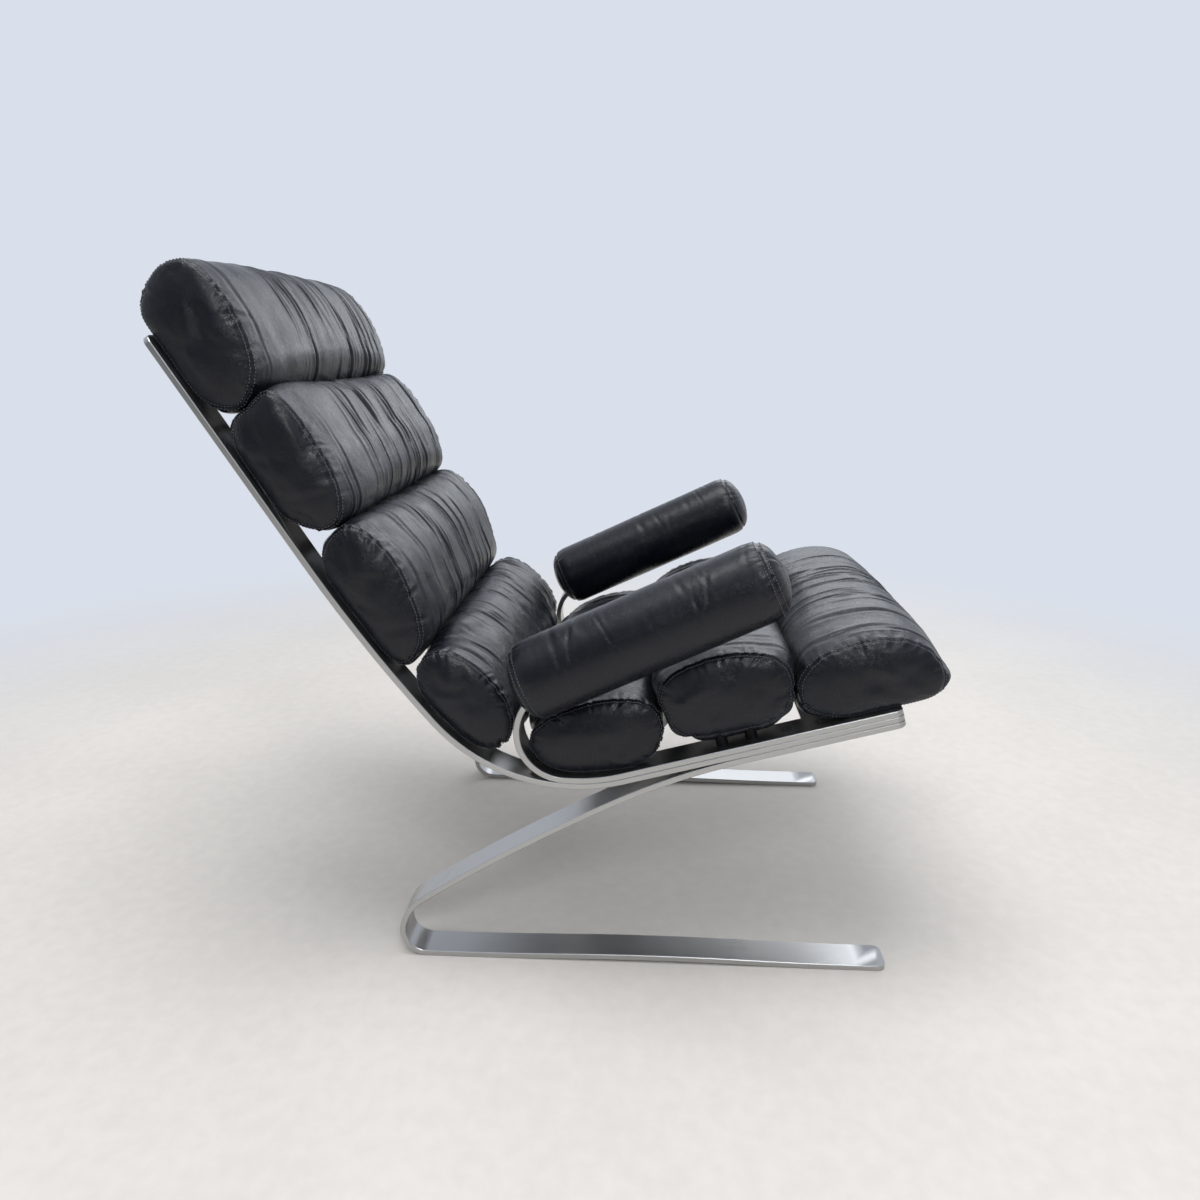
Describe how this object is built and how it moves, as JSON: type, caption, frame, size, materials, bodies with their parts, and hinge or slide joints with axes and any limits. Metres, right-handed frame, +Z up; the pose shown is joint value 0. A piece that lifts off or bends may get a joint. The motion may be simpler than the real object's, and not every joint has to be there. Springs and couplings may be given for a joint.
{
  "type": "cantilever lounge chair",
  "caption": "Sprung lounge chair of flat steel bands with separate leather roll cushions across seat and back, and roll armrests.",
  "frame": {"origin": "on the floor, under the middle of the chair's box", "axes": "+Z up, the sitter faces -Y, +X is the sitter's left"},
  "size_m": [0.725, 1.0086, 0.9393],
  "materials": {
    "band_steel": "satin",
    "fastener_steel": "satin",
    "leather": "satin",
    "foam": "matte",
    "plywood": "matte"
  },
  "bodies": {
    "base": {"left_base_spring": "band_steel", "right_base_spring": "band_steel"},
    "seat": {"front_bar_bolts": "fastener_steel", "front_cross_bar": "band_steel", "front_seat_board": "plywood", "front_seat_cover": "leather", "front_seat_foam": "foam", "front_seat_screws": "fastener_steel", "left_armrest_band": "band_steel", "left_armrest_cover": "leather", "left_armrest_foam": "foam", "left_seat_back_band": "band_steel", "middle_seat_board": "plywood", "middle_seat_cover": "leather", "middle_seat_foam": "foam", "middle_seat_screws": "fastener_steel", "middle_seat_spacers": "fastener_steel", "rear_bar_bolts": "fastener_steel", "rear_cross_bar": "band_steel", "rear_seat_board": "plywood", "rear_seat_cover": "leather", "rear_seat_foam": "foam", "rear_seat_screws": "fastener_steel", "right_armrest_band": "band_steel", "right_armrest_cover": "leather", "right_armrest_foam": "foam", "right_seat_back_band": "band_steel", "stack_bolts": "fastener_steel"},
    "back": {"back_screws": "fastener_steel", "headrest_board": "plywood", "headrest_cover": "leather", "headrest_foam": "foam", "lumbar_board": "plywood", "lumbar_cover": "leather", "lumbar_foam": "foam", "middle_back_board": "plywood", "middle_back_cover": "leather", "middle_back_foam": "foam", "upper_back_board": "plywood", "upper_back_cover": "leather", "upper_back_foam": "foam"}
  },
  "joints": [
    {"name": "base_flex", "type": "hinge", "parent": "base", "child": "seat", "pos_m": [0, 0.1788, 0.045], "axis": [1, 0, 0], "range_deg": [0, 3], "stiffness_Nm_per_rad": 5000, "springref_deg": -2.01, "deforming": ["right_base_spring", "left_base_spring"]},
    {"name": "back_flex", "type": "hinge", "parent": "seat", "child": "back", "pos_m": [0, 0.0728, 0.29], "axis": [-1, 0, 0], "range_deg": [0, 5], "stiffness_Nm_per_rad": 1500, "springref_deg": -2.86, "deforming": ["right_seat_back_band", "left_seat_back_band"]}
  ]
}
